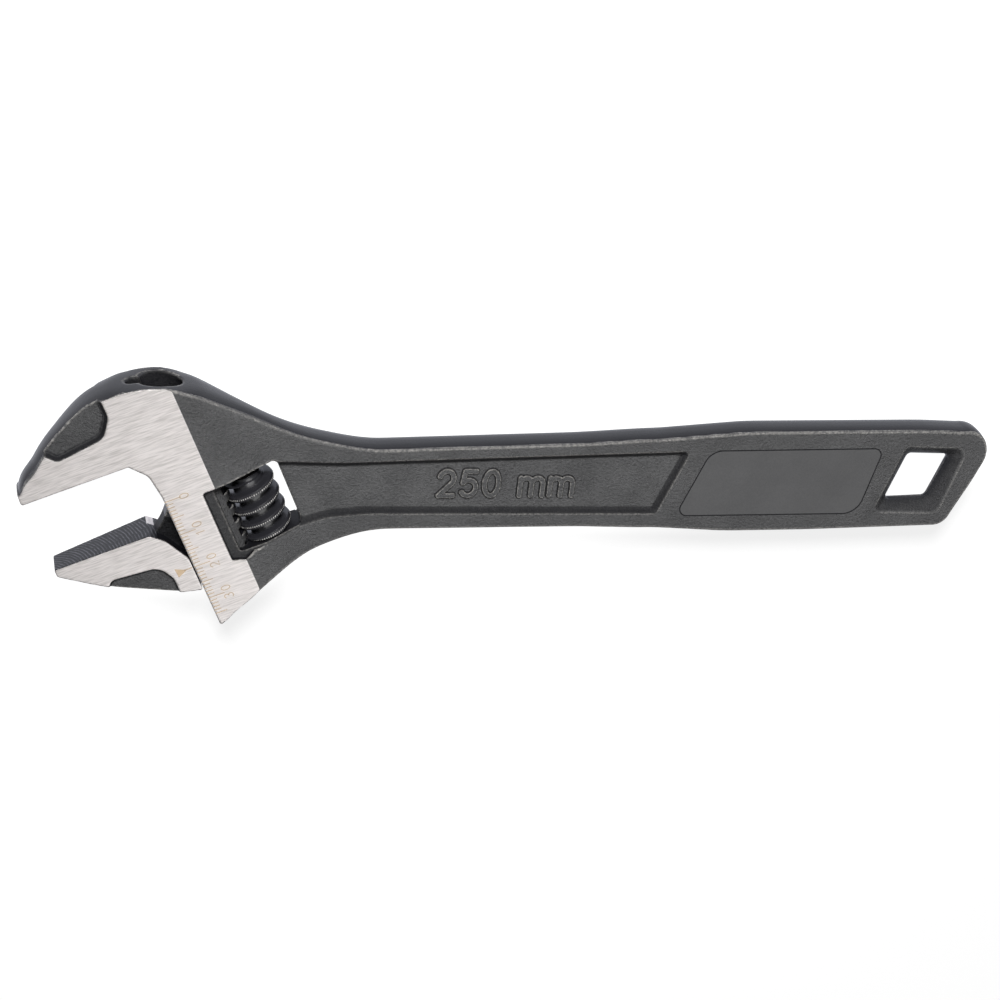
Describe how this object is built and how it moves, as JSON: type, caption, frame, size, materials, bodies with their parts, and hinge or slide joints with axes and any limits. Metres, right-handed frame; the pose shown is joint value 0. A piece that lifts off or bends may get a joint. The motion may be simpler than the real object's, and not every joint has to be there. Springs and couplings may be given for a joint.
{
  "type": "adjustable wrench",
  "caption": "Thin-jaw adjustable wrench: sliding lower jaw driven by a knurled worm, millimetre scale, slim shank and slanted hanging hole.",
  "frame": {"origin": "middle of the outline seen from the front, on the plane that the back of the head rests on", "axes": "+X along the handle from the jaws to the hanging hole, +Y towards the side with the head's crown and fixed jaw, +Z out of the front face with the scale"},
  "size_m": [0.2609, 0.0673, 0.0148],
  "materials": {
    "black_steel": "matte black phosphate on forged steel, with ground head faces",
    "ground_steel": "ground steel",
    "oiled_steel": "oiled black steel",
    "pin_steel": "plain steel",
    "spring_steel": "drawn spring wire"
  },
  "bodies": {
    "handle": {"body": "black_steel", "worm_pin": "pin_steel", "worm_spring": "spring_steel"},
    "jaw": {"movable_jaw": "ground_steel"},
    "worm": {"worm": "oiled_steel"}
  },
  "joints": [
    {"name": "jaw_slide", "type": "slide", "parent": "handle", "child": "jaw", "axis": [0.3907, -0.9205, 0], "range_m": [-0.0199, 0.014]},
    {"name": "worm_spin", "type": "hinge", "parent": "handle", "child": "worm", "pos_m": [-0.07139, -0.00088, 0.0074], "axis": [-0.3907, 0.9205, 0], "range_deg": [-1720, 1210]}
  ],
  "couplings": [
    {"joint": "worm_spin", "follows": "jaw_slide", "rad_per_m": 1496}
  ]
}
